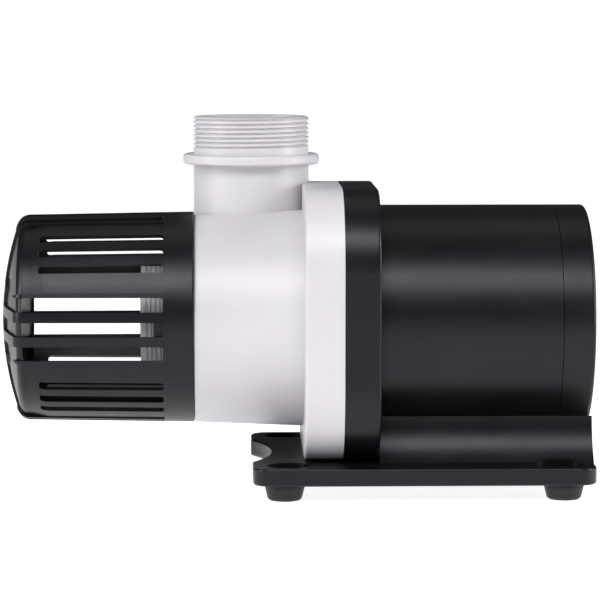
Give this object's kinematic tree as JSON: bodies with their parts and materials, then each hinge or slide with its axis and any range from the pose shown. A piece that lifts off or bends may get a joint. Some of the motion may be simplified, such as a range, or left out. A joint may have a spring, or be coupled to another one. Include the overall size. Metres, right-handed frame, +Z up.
{
  "type": "submersible circulation pump",
  "caption": "Horizontal submersible circulation pump with slotted strainer, threaded side outlet, canned rotor and a stand on rubber feet.",
  "frame": {"origin": "centre of the bounding box in plan, on the plane the feet stand on", "axes": "+X along the pump axis from the strainer to the motor's rear, +Y away from the side seen in the picture, +Z up along the outlet"},
  "size_m": [0.298, 0.1368, 0.1879],
  "materials": {
    "black_plastic": "satin",
    "white_plastic": "satin",
    "dark_plastic": "satin",
    "seal_rubber": "matte",
    "foot_rubber": "matte",
    "ceramic": "polished",
    "carbon": "matte",
    "magnet": "satin",
    "lamination": "brushed",
    "copper": "enamelled wire",
    "resin": "cast",
    "steel": "plain"
  },
  "bodies": {
    "strainer": {"strainer_cage": "black_plastic"},
    "rotor": {"impeller": "dark_plastic", "impeller_shroud": "dark_plastic", "magnet_rotor": "magnet", "rotor_bearing_front": "carbon", "rotor_bearing_rear": "carbon"},
    "casing": {"volute_housing": "white_plastic", "casing_seal": "seal_rubber", "motor_housing": "black_plastic", "rear_cap": "black_plastic", "rear_cap_seal": "seal_rubber", "well_seal": "seal_rubber", "rotor_well": "dark_plastic", "chamber_plate": "dark_plastic", "shaft": "ceramic", "front_shaft_seat": "seal_rubber", "rear_shaft_seat": "seal_rubber", "thrust_washer_front": "ceramic", "thrust_washer_rear": "ceramic", "stator_core": "lamination", "stator_coils": "copper", "potting_fill": "resin", "base_stand": "black_plastic", "foot_front_left": "foot_rubber", "foot_front_right": "foot_rubber", "foot_back_left": "foot_rubber", "foot_back_right": "foot_rubber", "casing_screws": "steel", "base_screws": "steel", "gland_body": "black_plastic", "gland_nut": "dark_plastic"}
  },
  "joints": [
    {"name": "rotor_spin", "type": "hinge", "parent": "casing", "child": "rotor", "pos_m": [0, 0, 0.0855], "axis": [1, 0, 0], "continuous": true},
    {"name": "strainer_pull", "type": "slide", "parent": "casing", "child": "strainer", "axis": [-1, 0, 0], "range_m": [0, 0.06]}
  ]
}
